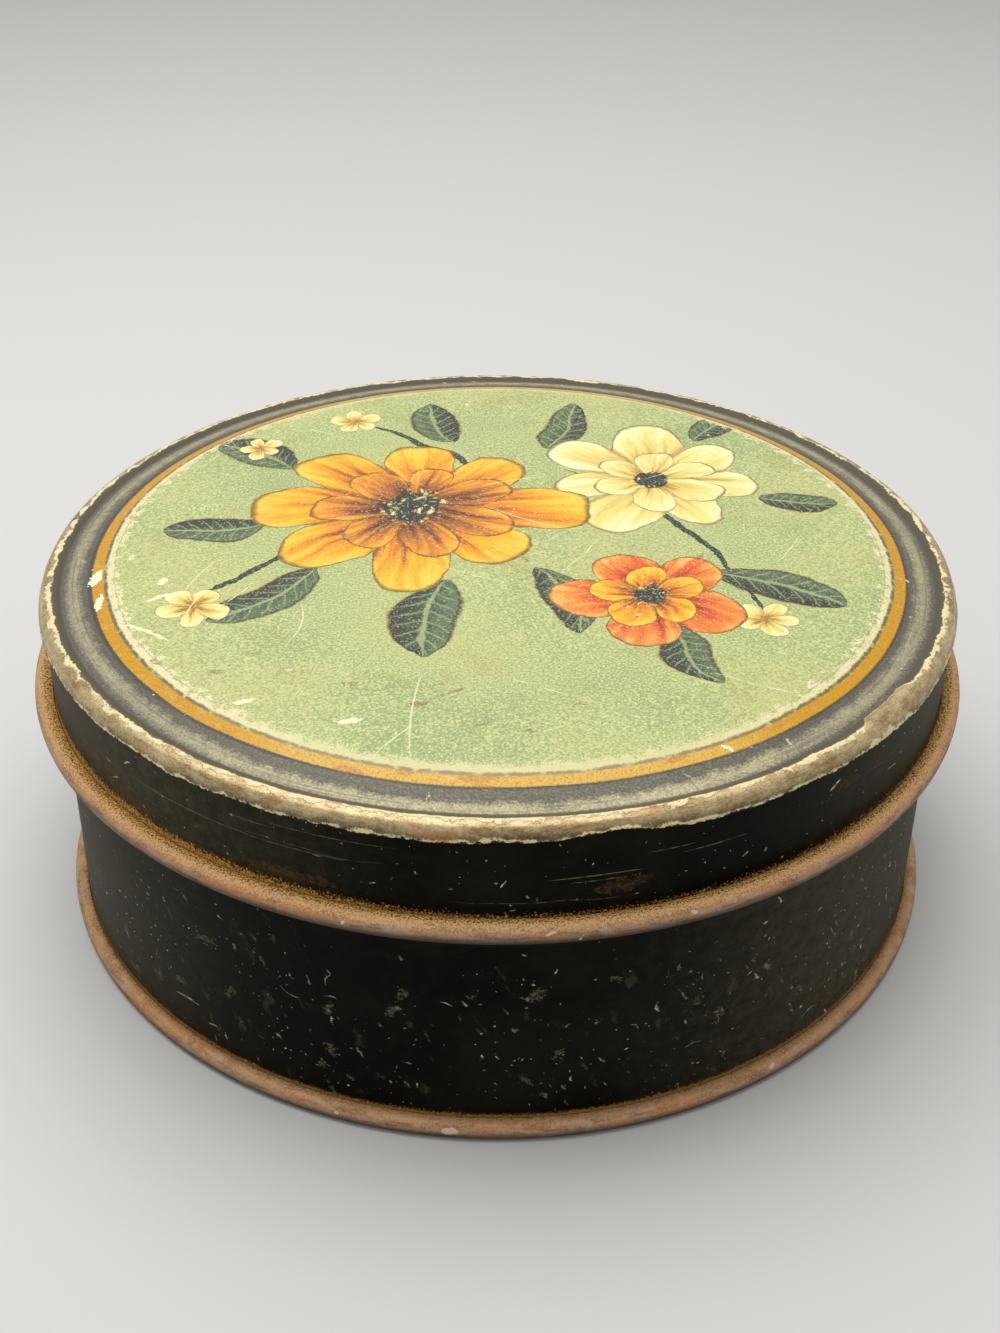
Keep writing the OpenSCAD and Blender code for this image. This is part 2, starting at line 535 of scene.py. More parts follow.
def flaked_edge_group():
    """A paint edge that has flaked: where paint is left, and where its pale undercoat shows beside it."""
    tree, w, given, out = new_group("flaked_edge", [
        ("Vector", "vector"), ("Inside", "value"), ("Ragged", "value"), ("Undercoat", "value"),
    ], [("Paint", "value"), ("Pale", "value")])
    broad = w.drift(given["Vector"], 0.4)
    fine = w.drift(given["Vector"], 2.2, 4.0, 0.65)
    edge = w.plus(given["Inside"], w.times(w.plus(w.times(broad, 1.6), fine), given["Ragged"], 2.0))
    uneven = w.span(w.noise(given["Vector"], 0.6, 4.0, 0.6), 0.34, 0.66, 0.1, 2.0)
    paint = w.ease(edge, -0.05, 0.05)
    thinned = w.times(w.drift(given["Vector"], 5.0, 3.0, 0.7), 0.5)
    under = w.ease(w.plus(edge, w.times(given["Undercoat"], uneven), thinned), -0.1, 0.1)
    w.feed(out["Paint"], paint)
    w.feed(out["Pale"], w.times(under, w.inverse(paint)))
    return tree


def patina_group():
    """Tarnished tinplate: Bright runs from brown to silvery, Warm adds an orange bloom, Rust adds rust."""
    tree, w, given, out = new_group("patina", [
        ("Vector", "vector"), ("Bright", "value"), ("Warm", "value"), ("Rust", "value"),
    ], [("Colour", "colour"), ("Metal", "value"), ("Height", "value")])
    broad = w.noise(given["Vector"], 0.3, 3.0, 0.6)
    middle = w.noise(given["Vector"], 1.4, 3.0, 0.6)
    fine = w.noise(given["Vector"], 6.0, 3.0, 0.7)
    tarnish = w.plus(w.times(broad, 0.35), w.times(middle, 0.3), w.times(fine, 0.35))
    dark = w.mix(given["Bright"], TIN_BROWN, TIN_GREY)
    pale = w.mix(given["Bright"], TIN_TAN, TIN_SILVER)
    metal = w.mix(w.ease(tarnish, 0.38, 0.62), dark, pale)
    bloom = w.times(given["Warm"], w.span(fine, 0.3, 0.7, 0.45, 1.0))
    metal = w.mix(bloom, metal, RUST_LIGHT)
    level = w.plus(w.times(broad, 0.2), w.times(middle, 0.4), w.times(fine, 0.4))
    start = w.span(given["Rust"], 0.0, 1.0, 0.72, 0.34)
    rust = w.ease(level, start, w.plus(start, 0.1))
    rusty = w.mix(w.ease(fine, 0.4, 0.62), RUST_DARK, RUST_MID)
    w.feed(out["Colour"], w.mix(rust, metal, rusty))
    w.feed(out["Metal"], w.inverse(w.times(w.math("MAXIMUM", rust, bloom), 0.9)))
    w.feed(out["Height"], w.plus(w.times(fine, 0.6), w.times(rust, 0.4)))
    return tree


def rolled_edge_group():
    """Bare tinplate of a rolled edge: golden grains where it looks up, tan and orange streaks round it,
    painted shade that darkens the side looking down, and rusty grains behind it. Corner is how far out a
    point lies, in millimetres, from the corner."""
    tree, w, given, out = new_group("rolled_edge", [
        ("Place", "vector"), ("Unrolled", "vector"), ("Up", "value"), ("Golden", "value"),
        ("Corner", "value"),
    ], [("Colour", "colour"), ("Metal", "value"), ("Height", "value")])
    arc = w.part(given["Unrolled"], 0)
    broad = w.noise(given["Place"], 0.24, 3.0, 0.6)
    middle = w.noise(given["Place"], 0.9, 4.0, 0.6)
    grain = w.drift(given["Place"], 5.5, 3.0, 0.7)
    streak = w.noise(w.join(w.times(arc, 0.3), w.times(given["Up"], 2.0)), 1.0, 4.0, 0.6)
    colour = w.mix(w.ease(w.plus(streak, w.times(grain, 0.4)), 0.34, 0.6), ROLL_BROWN, ROLL_TAN)
    colour = w.mix(w.times(w.ease(w.plus(broad, w.times(grain, 0.2)), 0.48, 0.62), 0.6), colour, ROLL_ORANGE)
    colour = w.mix(w.times(w.ease(middle, 0.54, 0.66), 0.6), colour, ROLL_PINK)
    golden = w.times(w.ease(w.plus(given["Up"], w.times(grain, 1.4)), 0.4, 1.0), given["Golden"])
    colour = w.mix(golden, colour, w.mix(w.ease(grain, -0.14, 0.06), RUST_MID, RUST_LIGHT))
    # Painted shade: the side that looks down is darkened towards dark brown
    below = w.ease(w.plus(given["Up"], w.times(grain, 0.3)), 0.55, -0.4)
    colour = w.mix(w.times(below, 0.92), colour, DARK_BROWN)
    grime = w.ease(w.plus(given["Corner"], w.times(grain, 1.2)), 0.3, -0.1)
    grime = w.times(grime, w.ease(given["Up"], -0.2, 0.3))
    colour = w.mix(grime, colour, w.mix(w.ease(grain, -0.1, 0.08), ENAMEL_BROWN, RUST_GRAIN))
    w.feed(out["Colour"], colour)
    w.feed(out["Metal"], w.times(w.inverse(w.most(golden, grime)), w.ease(streak, 0.3, 0.6)))
    w.feed(out["Height"], w.plus(w.times(grain, 0.6), w.times(middle, 0.4)))
    return tree


def enamel_group():
    """Black enamel gone brown in patches, with a dull film and painted sheen towards the tin's sides as seen
    from the front, less of both at the back: its colour, and how dull it is."""
    tree, w, given, out = new_group("old_enamel", [
        ("Place", "vector"), ("Unrolled", "vector"), ("Shift", "value"),
    ], [("Colour", "colour"), ("Dull", "value")])
    patch = w.noise(given["Place"], 0.07, 4.0, 0.55)
    mottle = w.noise(given["Unrolled"], 0.7, 5.0, 0.7)
    brown = w.plus(w.times(w.ease(patch, 0.42, 0.68), 0.65), w.times(w.ease(mottle, 0.46, 0.7), 0.35))
    arc = w.part(given["Unrolled"], 0)
    # Painted sheen and a dull film: paler with the arc from the front towards the sides, where the enamel
    # reflects its surroundings
    aside = w.ease(w.math("ABSOLUTE", w.plus(arc, given["Shift"])), 12.0, 50.0)
    aside = w.times(aside, w.span(w.math("ABSOLUTE", arc), 55.0, 90.0, 1.0, 0.3))
    film = w.times(aside, w.span(mottle, 0.34, 0.66, 0.2, 0.46))
    w.feed(out["Colour"], w.mix(film, w.mix(brown, ENAMEL_BLACK, ENAMEL_BROWN), SCUFF_AND_SHEEN_TAN))
    w.feed(out["Dull"], w.plus(w.times(brown, 0.4), film, w.times(mottle, 0.4)))
    return tree


def printed_rings_group():
    """The rings printed round the lid's picture, a little off its centre: cream, a dark line, gold, and the
    border's black, greyed partly as painted sheen.
    """
    tree, w, given, out = new_group("printed_rings", [("Picture", "colour"), ("Place", "vector")], [
        ("Colour", "colour"),
    ])
    level = w.vector("MULTIPLY", w.vector("SUBTRACT", given["Place"], PRINT_SHIFT), (1.0, 1.0, 0.0))
    slow = w.drift(given["Place"], 0.12)
    middle = w.noise(given["Place"], 0.9, 4.0, 0.6)
    fine = w.noise(given["Place"], 3.2, 3.0, 0.6)
    grain = w.drift(given["Place"], 6.0, 2.0)
    radius = w.plus(w.length(level), w.times(slow, 0.3), w.times(w.minus(fine, 0.5), 0.3))
    aside = w.ease(w.math("ABSOLUTE", w.part(level, 0)), 12.0, 32.0)
    ragged = w.times(w.minus(middle, 0.5), w.span(aside, 0.0, 1.0, 2.2, 5.0))
    spray = w.plus(w.minus(radius, CREAM_RING_R), w.times(grain, 2.2), ragged)
    cream = w.mix(w.ease(w.plus(middle, w.times(aside, 0.12)), 0.54, 0.68), CREAM_WORN, CREAM_FLAKE)
    cream = w.mix(w.times(w.ease(grain, 0.02, 0.12), aside), cream, CREAM_WHITE)
    cover = w.span(aside, 0.0, 1.0, 0.8, 0.96)
    colour = w.mix(w.times(w.ease(spray, -0.3, 0.2), cover), given["Picture"], cream)
    unbroken = w.span(w.plus(middle, w.times(grain, 0.4)), 0.32, 0.5, 0.35, 0.95)
    uneven = w.plus(radius, w.times(w.minus(middle, 0.5), 0.5))
    inner = w.times(w.within(uneven, CREAM_RING_R, CREAM_RING_R + 0.08, 0.08), unbroken, aside, 0.6)
    colour = w.mix(inner, colour, LINE_DARK)
    line = w.times(w.within(uneven, DARK_LINE_R + 0.08, GOLD_R + 0.1, 0.12), unbroken)
    colour = w.mix(line, colour, w.mix(aside, LINE_PALE, LINE_DARK))
    gold = w.mix(w.ease(w.plus(aside, slow), 0.1, 0.8), GOLD_PALE, GOLD_DEEP)
    gold = w.mix(w.times(w.ease(middle, 0.54, 0.7), 0.3), gold, CREAM_WORN)
    gold = w.mix(w.times(w.ease(grain, 0.02, -0.16), 0.6), gold, RUST_MID)
    gold = w.mix(w.times(w.ease(fine, 0.53, 0.68), 0.6), gold, RUST_MID)
    colour = w.mix(w.ease(radius, GOLD_R - 0.09, GOLD_R + 0.09), colour, gold)
    w.feed(out["Colour"], w.mix(w.ease(radius, BORDER_R - 0.09, BORDER_R + 0.09), colour, BORDER_GREY_AND_SHEEN))
    return tree


def blade_group():
    """A long shape with pointed ends, which may bow to one side: a leaf, a stem or a scratch."""
    tree, w, given, out = new_group("blade", [
        ("Place", "vector"), ("Start", "vector"), ("Turn", "value"), ("Length", "value"),
        ("Width", "value"), ("Bow", "value"),
    ], [("Mask", "value"), ("Along", "value"), ("Across", "value")])
    offset = w.vector("SUBTRACT", given["Place"], given["Start"])
    laid = w.turned(offset, w.times(given["Turn"], -1.0))
    along = w.math("DIVIDE", w.part(laid, 0), given["Length"])
    bell = w.most(w.times(along, w.inverse(along), 4.0), 0.0)
    half = w.most(w.times(given["Width"], 0.5, w.math("POWER", bell, 0.7)), 0.001)
    across = w.math("DIVIDE", w.minus(w.part(laid, 1), w.times(given["Bow"], bell)), half)
    inside = w.ease(w.math("ABSOLUTE", across), 1.0, 0.85)
    w.feed(out["Mask"], w.times(inside, w.math("GREATER_THAN", bell, 0.0)))
    w.feed(out["Along"], along)
    w.feed(out["Across"], across)
    return tree


def petal_ring_group():
    """A ring of petals round a centre: where they are, and places along and across each of them."""
    tree, w, given, out = new_group("petal_ring", [
        ("Place", "vector"), ("Centre", "vector"), ("Reach", "value"), ("Petals", "value"),
        ("Turn", "value"), ("Waist", "value"),
    ], [("Mask", "value"), ("Along", "value"), ("Across", "value"), ("Seed", "value")])
    offset = w.vector("SUBTRACT", given["Place"], given["Centre"])
    far = w.math("DIVIDE", w.length(offset), given["Reach"])
    turn = w.plus(w.math("ARCTAN2", w.part(offset, 1), w.part(offset, 0)), given["Turn"])
    sector = w.times(turn, given["Petals"], 0.5 / math.pi)
    petal = w.math("ROUND", sector)
    across = w.times(w.minus(sector, petal), 2.0)
    number = w.plus(w.math("FLOORED_MODULO", petal, given["Petals"]), given["Reach"])
    seed = w.add("ShaderNodeTexWhiteNoise", {"W": number}, noise_dimensions="1D").outputs["Value"]
    taper = w.times(w.inverse(given["Waist"]), w.math("POWER", w.math("ABSOLUTE", across), 2.4))
    edge = w.times(w.inverse(taper), w.span(seed, 0.0, 1.0, 0.84, 1.04))
    along = w.math("DIVIDE", far, edge)
    w.feed(out["Mask"], w.ease(along, 1.0, 0.985))
    w.feed(out["Along"], along)
    w.feed(out["Across"], across)
    w.feed(out["Seed"], seed)
    return tree


# Colours, as they look on a screen

TIN_BROWN = plain(92, 68, 48)
TIN_TAN = plain(164, 126, 94)
TIN_GREY = plain(146, 122, 80)
TIN_SILVER = plain(234, 216, 166)
RUST_DARK = plain(112, 66, 42)
RUST_MID = plain(178, 116, 68)
RUST_LIGHT = plain(222, 176, 114)
RUST_GOLD = plain(176, 134, 76)
RUST_GRAIN = plain(238, 184, 98)
RUST_FLECK = plain(138, 96, 58)
ROSY_RUST = plain(190, 130, 76)
ENAMEL_BLACK = plain(3, 3, 2)
ENAMEL_BROWN = plain(25, 23, 16)
ENAMEL_SHEEN = (1.0, 0.92, 0.76, 1.0)
OCHRE = plain(92, 68, 36)
TIN_CLEAN = plain(200, 196, 182)
SPECK_PALE = plain(214, 208, 190)
# Tan of scuffs on the enamel, also used as the painted sheen towards the tin's sides
SCUFF_AND_SHEEN_TAN = plain(104, 98, 74)
CHIP_PINK = plain(226, 196, 172)
CREAM_FLAKE = plain(232, 217, 168)
CREAM_WORN = plain(222, 214, 150)
CREAM_WHITE = plain(244, 238, 196)
LINE_PALE = plain(146, 126, 82)
LINE_DARK = plain(108, 92, 54)
LINE_GREY = plain(118, 112, 90)
GOLD_PALE = plain(224, 182, 70)
GOLD_DEEP = plain(210, 156, 16)
# The border's black paint, lightened to a grey that stands in partly for painted sheen
BORDER_GREY_AND_SHEEN = plain(86, 84, 74)
# Pale of the border's streak: dust, and painted sheen
DUST_AND_SHEEN = plain(204, 193, 152)
# Dark brown laid on the rolled edges' undersides as painted shade, and on the lid's bead towards its raw edge
DARK_BROWN = plain(42, 34, 25)
ROLL_BROWN = plain(142, 104, 74)
ROLL_TAN = plain(188, 150, 114)
ROLL_ORANGE = plain(192, 126, 76)
ROLL_PINK = plain(200, 168, 140)
CREASE_DIRT = plain(92, 86, 63)
CREASE_DEEP = plain(86, 80, 63)
OLIVE_CREAM = plain(222, 208, 152)
BORDER_DEEP = plain(38, 37, 33)
GROUND_DEEP = plain(148, 166, 108)
GROUND_PALE = plain(202, 206, 140)
GROUND_WARM = plain(198, 198, 130)
STIPPLE = plain(226, 226, 158)
TONED = plain(214, 190, 140)

# Radii of the printed rings, and where their centre lies beside the tin's axis
CREAM_RING_R = 38.85
DARK_LINE_R = 39.52
GOLD_R = 39.95
BORDER_R = 41.09
PRINT_SHIFT = (0.09, -0.16, 0.0)
PRINT_SPLIT_R = 39.85

TIN_PLACES = tin_places_group()
SPECKS = speck_group()
SCRATCHES = scratch_group()
FLAKED_EDGE = flaked_edge_group()
PATINA = patina_group()
ROLLED_EDGE = rolled_edge_group()
OLD_ENAMEL = enamel_group()
PRINTED_RINGS = printed_rings_group()
BLADE = blade_group()
PETAL_RING = petal_ring_group()


def new_finish(name):
    """A material, its wiring and its shader's inputs, ready to be fed."""
    material = bpy.data.materials.new(name)
    material.use_nodes = True
    tree = material.node_tree
    tree.nodes.clear()
    w = Wiring(tree)
    shader = w.add("ShaderNodeBsdfPrincipled", {})
    w.feed(w.add("ShaderNodeOutputMaterial", {}).inputs["Surface"], shader.outputs[0])
    return material, w, shader.inputs


def raise_surface(w, shader, height, depth_mm):
    """Feeds a height, in shares of the given depth, to the shader's normal."""
    inputs = {"Height": height, "Distance": depth_mm * MM}
    w.feed(shader["Normal"], w.add("ShaderNodeBump", inputs).outputs[0])


def specks(w, vector, cell, share, size):
    return w.group(SPECKS, {"Vector": vector, "Cell": cell, "Share": share, "Size": size})["Mask"]


def scratches(w, vector, length, gap, share, width):
    inputs = {"Vector": vector, "Length": length, "Gap": gap, "Share": share, "Width": width}
    return w.group(SCRATCHES, inputs)["Mask"]


def laid_blade(w, place, row):
    """A blade from a row of x, y, turn in degrees, length, width and, where it is bowed, bow."""
    x, y, turn, length, width, *bow = row
    return w.group(BLADE, {
        "Place": place, "Start": (x, y, 0.0), "Turn": math.radians(turn), "Length": length,
        "Width": width, "Bow": bow[0] if bow else 0.0,
    })


def marks(w, place, table, rough_mm):
    """Scratches, chips or stains from a table of blades, their outlines roughened."""
    place = w.vector("ADD", place, w.scaled(w.stray(place, 2.4, 4.0), rough_mm))
    mask = 0.0
    for row in table:
        mask = w.most(mask, laid_blade(w, place, row)["Mask"])
    return mask


def facing_up(w):
    """1 where the surface looks straight up, -1 where it looks down."""
    return w.part(w.add("ShaderNodeNewGeometry", {}).outputs["Normal"], 2)


# Finishes of the sides

def worn_enamel(w, shader, colour, dull, worn, pale, place):
    """Feeds the shader of an enamelled wall from its colour, its dullness and its wear."""
    w.feed(shader["Base Color"], colour)
    w.feed(shader["Roughness"], w.plus(0.34, w.times(dull, 0.3), w.times(worn, 0.3)))
    shader["Specular IOR Level"].default_value = 0.05
    shader["Specular Tint"].default_value = ENAMEL_SHEEN
    raised = w.plus(w.times(w.noise(place, 1.1, 4.0, 0.6), 0.5), w.times(w.most(worn, pale), -0.4))
    raise_surface(w, shader, raised, 0.03)


# Heights on the body's wall: where wear starts below the lid and is full, where the neck inside the lid is
# rubbed, a faint pale ring under the lid's curl that is partly wear from the lid's edge and partly painted
# reflection of the curl, and the top of the rust above the base
WEAR_TOP_Z = 25.0
WEAR_FULL_Z = 15.0
NECK_LOW_Z = 25.5
NECK_FULL_Z = 27.0
LID_LINE_LOW_Z = 22.8
LID_LINE_TOP_Z = 24.0
FOOT_RUST_Z = 2.3
# Arc at the right where the specks crowd
CROWD_FROM = 36.0
CROWD_TO = 64.0
# Fine curved hairs in the body's enamel: arc from the front, height, turn in degrees, length, width, bow
WALL_HAIRS = [
    (-15.2, 15.6, 72.0, 1.5, 0.12, 0.3), (-14.8, 16.8, 120.0, 0.9, 0.12, -0.2),
    (-15.6, 14.2, 4.0, 1.4, 0.1, 0.2), (-20.0, 14.0, -20.0, 2.2, 0.1, -0.4),
    (-4.8, 16.0, -24.0, 1.2, 0.14, 0.1), (17.8, 7.4, 10.0, 1.8, 0.14, 0.2),
    (-33.6, 6.0, 4.0, 3.4, 0.26, 0.2), (-29.2, 4.6, 6.0, 1.4, 0.24, 0.1),
    (32.0, 4.0, 8.0, 2.4, 0.12, 0.5),
]
# Dull tan blotches in the body's enamel, in the same terms, with no bow
WALL_BLOTCHES = [
    (-29.8, 15.2, 12.0, 2.8, 0.9), (-26.4, 9.6, 60.0, 1.7, 1.0), (-33.4, 7.6, 30.0, 1.8, 0.8),
    (-37.4, 6.4, 10.0, 2.0, 0.8), (-42.6, 3.8, 8.0, 2.8, 0.9), (-8.6, 15.4, 62.0, 2.0, 0.7),
    (-9.4, 13.6, 70.0, 1.2, 0.7), (-15.4, 12.0, 70.0, 1.7, 0.9), (-15.6, 8.8, -62.0, 2.0, 0.8),
    (-16.8, 5.6, 10.0, 1.3, 0.8), (5.2, 8.8, 64.0, 1.9, 0.7), (10.2, 18.0, 0.0, 1.0, 0.7),
    (2.6, 16.6, 20.0, 2.0, 1.1), (18.2, 12.4, 50.0, 1.4, 0.7), (21.0, 9.0, 80.0, 2.2, 0.7),
]


def wall_enamel():
    """Body's outside: old enamel with scuffs, specks, a few hairs and a rust line above the base."""
    material, w, shader = new_finish("wall_enamel")
    where = w.group(TIN_PLACES, {})
    place, height, flat = where["Place"], where["Height"], where["Unrolled"]
    enamel = w.group(OLD_ENAMEL, {"Place": place, "Unrolled": flat, "Shift": 6.0})
    low = w.ease(height, WEAR_TOP_Z, WEAR_FULL_Z)

    drips = w.vector("MULTIPLY", w.turned(flat, math.radians(-18.0)), (1.0, 0.5, 1.0))
    scuffs = w.times(w.ease(w.noise(drips, 0.5, 5.0, 0.66), 0.59, 0.7), low)
    bare_neck = w.times(w.ease(height, NECK_LOW_Z, NECK_FULL_Z), w.noise(flat, 0.3, 2.0))
    rubbed = scratches(w, w.turned(flat, math.radians(90.0)), 7.0, 0.9, 0.4, 0.09)
    # A faint pale ring under the lid's curl: wear from the lid's edge, and painted reflection of the curl
    lid_wear_and_reflection = w.times(w.within(height, LID_LINE_LOW_Z, LID_LINE_TOP_Z, 0.3), 0.1)
    blotches = w.times(marks(w, flat, WALL_BLOTCHES, 2.2), w.ease(w.noise(flat, 2.6, 4.0, 0.7), 0.36, 0.6))
    worn = w.most(w.times(scuffs, 0.25), w.times(blotches, 0.7), w.times(rubbed, bare_neck), lid_wear_and_reflection)
    colour = w.mix(worn, enamel["Colour"], SCUFF_AND_SHEEN_TAN)

    right = w.within(w.part(flat, 0), CROWD_FROM, CROWD_TO, 8.0)
    crowd = w.times(w.most(w.ease(w.noise(flat, 0.09, 2.0), 0.34, 0.6), right), low)
    slanted = w.vector("MULTIPLY", w.turned(flat, math.radians(62.0)), (0.4, 1.0, 1.0))
    pale = w.most(
        specks(w, flat, 0.8, w.span(crowd, 0.0, 1.0, 0.04, 0.22), 0.1),
        specks(w, flat, 1.7, w.span(crowd, 0.0, 1.0, 0.05, 0.4), 0.075),
        specks(w, slanted, 1.7, w.times(crowd, 0.12), 0.08),
        w.times(specks(w, slanted, 1.1, w.times(crowd, 0.3), 0.14), 0.35),
        w.times(marks(w, flat, WALL_HAIRS, 0.25), 0.55),
    )
    pale = w.times(pale, w.span(w.noise(flat, 1.6), 0.35, 0.65, 0.25, 0.95))
    colour = w.mix(pale, colour, SPECK_PALE)

    ragged = w.times(w.drift(place, 4.5, 4.0, 0.7), 3.0)
    rust = w.ease(w.plus(w.times(w.minus(FOOT_RUST_Z, height), 2.2), ragged), -0.3, 1.0)
    colour = w.mix(w.times(rust, 0.8), colour, RUST_GOLD)
    worn_enamel(w, shader, colour, enamel["Dull"], w.most(rust, worn), pale, place)
    return material


# Top of the rust speckle above the lid's curl, and where it grows to full towards the left
CURL_RUST_Z = 26.75
LEFT_FROM = 8.0
LEFT_FULL = -32.0
# Marks on the lid's wall, by arc from the front and height: long rubbed lines, short nicks and rusty patches
BAND_LINES = [
    (-36.5, 31.0, 0.0, 16.0, 0.13, 0.05), (-21.5, 30.9, 0.0, 9.0, 0.1, 0.05), (-24.0, 32.5, 0.6, 5.0, 0.1),
    (-20.0, 33.0, 0.0, 12.0, 0.1), (4.0, 30.2, 1.2, 8.8, 0.14, 0.1), (6.0, 29.8, 1.0, 5.0, 0.1),
    (12.5, 32.0, 0.0, 4.4, 0.1), (15.5, 31.3, 0.5, 6.4, 0.13),
]
BAND_NICKS = [
    (0.4, 29.6, 58.0, 0.9, 0.16), (31.0, 32.0, 32.0, 1.4, 0.34), (21.6, 28.9, 35.0, 0.7, 0.18),
    (40.0, 29.7, -4.0, 1.6, 0.18, 0.1), (-36.4, 31.8, 30.0, 1.3, 0.18, 0.1), (-38.8, 29.0, 30.0, 1.1, 0.16),
]
BAND_PATCHES = [
    (31.6, 32.0, -4.0, 3.6, 1.3), (36.4, 32.6, -14.0, 3.0, 1.1), (8.0, 28.8, 6.0, 5.0, 1.6),
    (-44.0, 28.2, 0.0, 12.0, 1.6), (-22.0, 28.0, 0.0, 9.0, 1.2),
]


def band_enamel():
    """Lid's wall: old enamel with long rubbed lines, nicks, rusty patches and rust speckle above the curl."""
    material, w, shader = new_finish("band_enamel")
    where = w.group(TIN_PLACES, {})
    place, height, flat = where["Place"], where["Height"], where["Unrolled"]
    enamel = w.group(OLD_ENAMEL, {"Place": place, "Unrolled": flat, "Shift": -9.0})
    mottle = w.noise(flat, 2.2, 5.0, 0.7)

    patches = w.times(marks(w, flat, BAND_PATCHES, 2.2), w.ease(mottle, 0.32, 0.78))
    colour = w.mix(w.times(patches, 0.75), enamel["Colour"], OCHRE)
    broken = w.span(w.noise(flat, 1.2, 4.0, 0.65), 0.34, 0.6, 0.1, 0.7)
    lines = w.times(marks(w, flat, BAND_LINES, 0.12), broken)
    lines = w.most(lines, w.times(scratches(w, flat, 20.0, 0.9, 0.25, 0.07), 0.4))
    colour = w.mix(lines, colour, LINE_GREY)
    pale = w.most(
        specks(w, flat, 0.8, 0.14, 0.095),
        specks(w, flat, 1.8, 0.16, 0.055),
        w.times(marks(w, flat, BAND_NICKS, 0.2), 0.9),
    )
    pale = w.times(pale, w.span(w.noise(flat, 1.6), 0.35, 0.65, 0.25, 0.95))
    colour = w.mix(pale, colour, SPECK_PALE)

    ragged = w.drift(place, 4.5, 4.0, 0.7)
    left = w.ease(w.part(place, 0), LEFT_FROM, LEFT_FULL)
    over = w.plus(w.times(w.minus(CURL_RUST_Z, height), 1.2), w.times(left, 0.8))
    speckle = w.ease(w.plus(over, w.times(ragged, 4.2)), 0.2, 0.9)
    rust = w.mix(w.ease(w.noise(place, 5.5, 3.0, 0.7), 0.4, 0.56), RUST_FLECK, RUST_GRAIN)
    colour = w.mix(w.times(speckle, 0.9), colour, rust)
    worn = w.most(speckle, lines, w.times(patches, 0.7))
    worn_enamel(w, shader, colour, enamel["Dull"], worn, pale, place)
    return material


# Knocks on the rolled edges of the base and the lid, by arc from the front and height
BASE_KNOCKS = [(-4.7, 1.18, 6.0, 1.6, 0.7), (-14.6, 1.3, 0.0, 0.5, 0.3), (27.0, 1.5, 10.0, 0.7, 0.3)]
CURL_KNOCKS = [(4.0, 25.8, 20.0, 0.8, 0.3), (-12.4, 25.6, 60.0, 0.5, 0.3), (16.0, 26.0, 0.0, 0.6, 0.25)]


def rolled_tin(name, golden, corner_r, knocks):
    """Bare tinplate of a rolled edge, with small pinkish knocks."""
    material, w, shader = new_finish(name)
    where = w.group(TIN_PLACES, {})
    flat = where["Unrolled"]
    tin = w.group(ROLLED_EDGE, {
        "Place": where["Place"], "Unrolled": flat, "Up": facing_up(w), "Golden": golden,
        "Corner": w.minus(where["Radius"], corner_r),
    })
    chips = w.most(specks(w, flat, 2.2, 0.05, 0.06), w.times(marks(w, flat, knocks, 0.5), 0.85))
    w.feed(shader["Base Color"], w.mix(chips, tin["Colour"], CHIP_PINK))
    w.feed(shader["Metallic"], w.times(tin["Metal"], w.inverse(chips), 0.35))
    w.feed(shader["Roughness"], w.span(tin["Metal"], 0.0, 1.0, 0.75, 0.42))
    raise_surface(w, shader, w.plus(tin["Height"], w.times(chips, -0.8)), 0.03)
    return material


def inside_tin():
    """Bare tinplate inside the tin and under its base, which has stayed brighter, with fine rubbed lines."""
    material, w, shader = new_finish("inside_tin")
    where = w.group(TIN_PLACES, {})
    place = where["Place"]
    tin = w.group(PATINA, {"Vector": place, "Bright": 0.75, "Warm": 0.12, "Rust": 0.22})
    rubbed = scratches(w, w.turned(place, math.radians(30.0)), 14.0, 0.7, 0.3, 0.06)
    colour = w.mix(0.6, tin["Colour"], TIN_CLEAN)
    colour = w.mix(w.times(rubbed, 0.5), colour, TIN_SILVER)
    w.feed(shader["Base Color"], colour)
    w.feed(shader["Metallic"], w.times(tin["Metal"], 0.8))
    w.feed(shader["Roughness"], w.span(tin["Metal"], 0.0, 1.0, 0.75, 0.36))
    raise_surface(w, shader, tin["Height"], 0.02)
    return material


# Finishes of the lid's top

# Places along the lid's sheet, from its raw edge: the crease behind the bead, and where the border starts
CREASE_AT = RIM_DROP + BEAD_MID * math.radians(CREASE_TURN)
BORDER_AT = CREASE_AT + FOLD_MID * math.radians(CREASE_TURN + BORDER_TILT - 90.0)
BORDER_EDGE_AT = BORDER_AT + BORDER_W

# Half the width of the pale streak on the border, which is dust and painted sheen
STREAK_HALF_W = 0.7
# Arcs at the right of the bead: where it is rubbed bare, and where the rim's undercoat is wide
BARE_FROM = 37.0
BARE_TO = 45.0
UNDERCOAT_FROM = 35.5
UNDERCOAT_TO = 42.5
# Chips on the printed rings, at the left and the front right, and rust at the front
RING_CHIPS = [
    (-40.2, -8.6, 78.0, 3.0, 1.5), (-38.8, -10.6, -87.0, 2.9, 0.9), (-38.0, -11.0, 74.0, 3.4, 0.8, 0.1),
    (19.1, -35.4, -17.0, 1.3, 0.5), (22.4, -32.0, 40.0, 2.4, 0.9, 0.2),
]
RING_RUST = [
    (-3.2, -40.4, 4.0, 3.4, 1.0), (-2.2, -41.0, -8.0, 2.4, 0.7), (14.2, -37.8, 26.0, 2.4, 0.7),
    (-13.8, -38.6, -20.0, 3.0, 0.9), (-8.4, -39.4, -10.0, 1.6, 0.8),
]
# Rust on the lid's bead, by arc from the front and distance from the raw edge
BEAD_RUST = [
    (-6.2, 0.5, 0.0, 3.4, 1.1), (-19.6, 0.5, 40.0, 2.8, 1.2), (-7.6, 1.6, 0.0, 2.0, 0.6),
    (10.6, 1.9, 0.0, 3.4, 0.7), (24.0, 1.6, 60.0, 1.8, 1.2), (-30.0, 1.4, 70.0, 1.8, 1.0),
]


